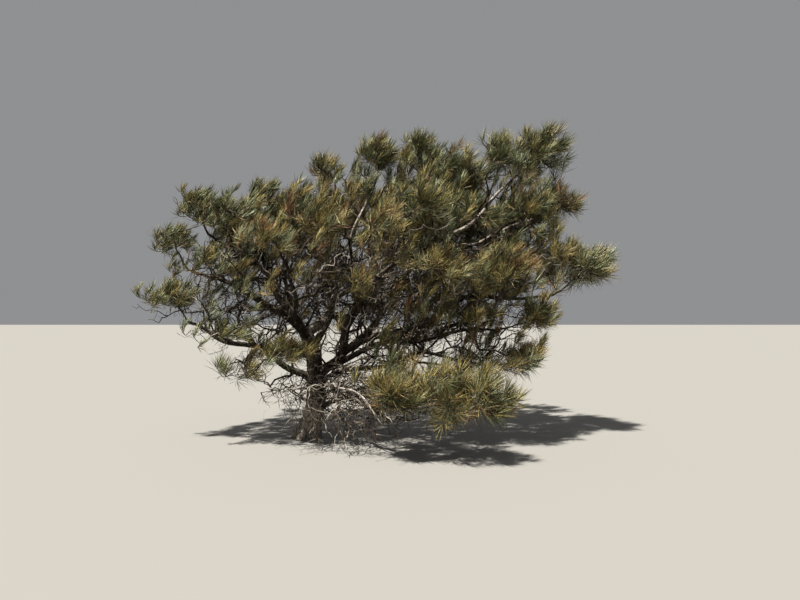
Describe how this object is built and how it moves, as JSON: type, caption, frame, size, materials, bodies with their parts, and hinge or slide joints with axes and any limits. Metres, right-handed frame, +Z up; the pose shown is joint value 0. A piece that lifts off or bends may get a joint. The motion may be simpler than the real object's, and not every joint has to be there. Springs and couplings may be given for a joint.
{
  "type": "wind-shaped pine tree",
  "caption": "Whole low pine with a short leaning trunk, long sweeping boughs and an open wind-combed crown of long needles",
  "frame": {"origin": "Middle of the flat cut under the trunk, at ground level", "axes": "+Z up, +X down the wind, the way the crown streams, -Y the front of the picture"},
  "size_m": [6.1088, 3.8605, 4.1245],
  "materials": {
    "bark": "rough furrowed bark",
    "dead_wood": "weathered bare wood",
    "needles_grey_green": "satin",
    "needles_olive": "satin",
    "needles_gold": "satin"
  },
  "bodies": {
    "root": {"trunk": "bark", "east_stem": "bark", "west_low_bough": "bark", "west_mid_bough": "bark", "west_high_bough": "bark", "west_top_bough": "bark", "tuft_bough": "bark", "leader": "bark", "top_left_stem": "bark", "east_leader": "bark", "upper_right_bough": "bark", "right_bough": "bark", "low_east_bough": "bark", "lowest_east_bough": "bark", "skirt_bough": "bark", "front_west_bough": "bark", "front_east_bough": "bark", "back_west_bough": "bark", "back_bough": "bark", "back_east_bough": "bark", "dead_snag": "dead_wood", "west_low_clump_foliage": "needles_grey_green", "west_low_inner_foliage": "needles_grey_green", "west_mid_tip_foliage": "needles_grey_green", "west_mid_clump_foliage": "needles_grey_green", "west_high_tip_foliage": "needles_grey_green", "west_high_clump_foliage": "needles_grey_green", "west_twin_foliage": "needles_grey_green", "tuft_left_foliage": "needles_olive", "west_front_foliage": "needles_gold", "centre_left_foliage": "needles_gold", "lone_tuft_foliage": "needles_grey_green", "top_left_foliage": "needles_grey_green", "top_mid_foliage": "needles_grey_green", "top_saddle_foliage": "needles_grey_green", "top_right_foliage": "needles_grey_green", "top_far_foliage": "needles_grey_green", "right_shoulder_foliage": "needles_grey_green", "upper_right_foliage": "needles_olive", "lobe_foliage": "needles_grey_green", "right_mid_foliage": "needles_gold", "right_inner_foliage": "needles_gold", "right_low_foliage": "needles_gold", "right_low_inner_foliage": "needles_gold", "lowest_foliage": "needles_gold", "front_shell_left_foliage": "needles_gold", "front_shell_right_foliage": "needles_gold", "upper_front_foliage": "needles_gold", "trunk_tufts_foliage": "needles_gold", "skirt_near_foliage": "needles_gold", "skirt_far_foliage": "needles_gold", "back_left_foliage": "needles_grey_green", "back_left_inner_foliage": "needles_olive", "back_mid_foliage": "needles_olive", "back_centre_foliage": "needles_olive", "back_right_foliage": "needles_olive", "back_right_inner_foliage": "needles_olive", "back_east_foliage": "needles_olive", "back_east_low_foliage": "needles_olive", "inner_twigs": "bark"}
  },
  "joints": []
}
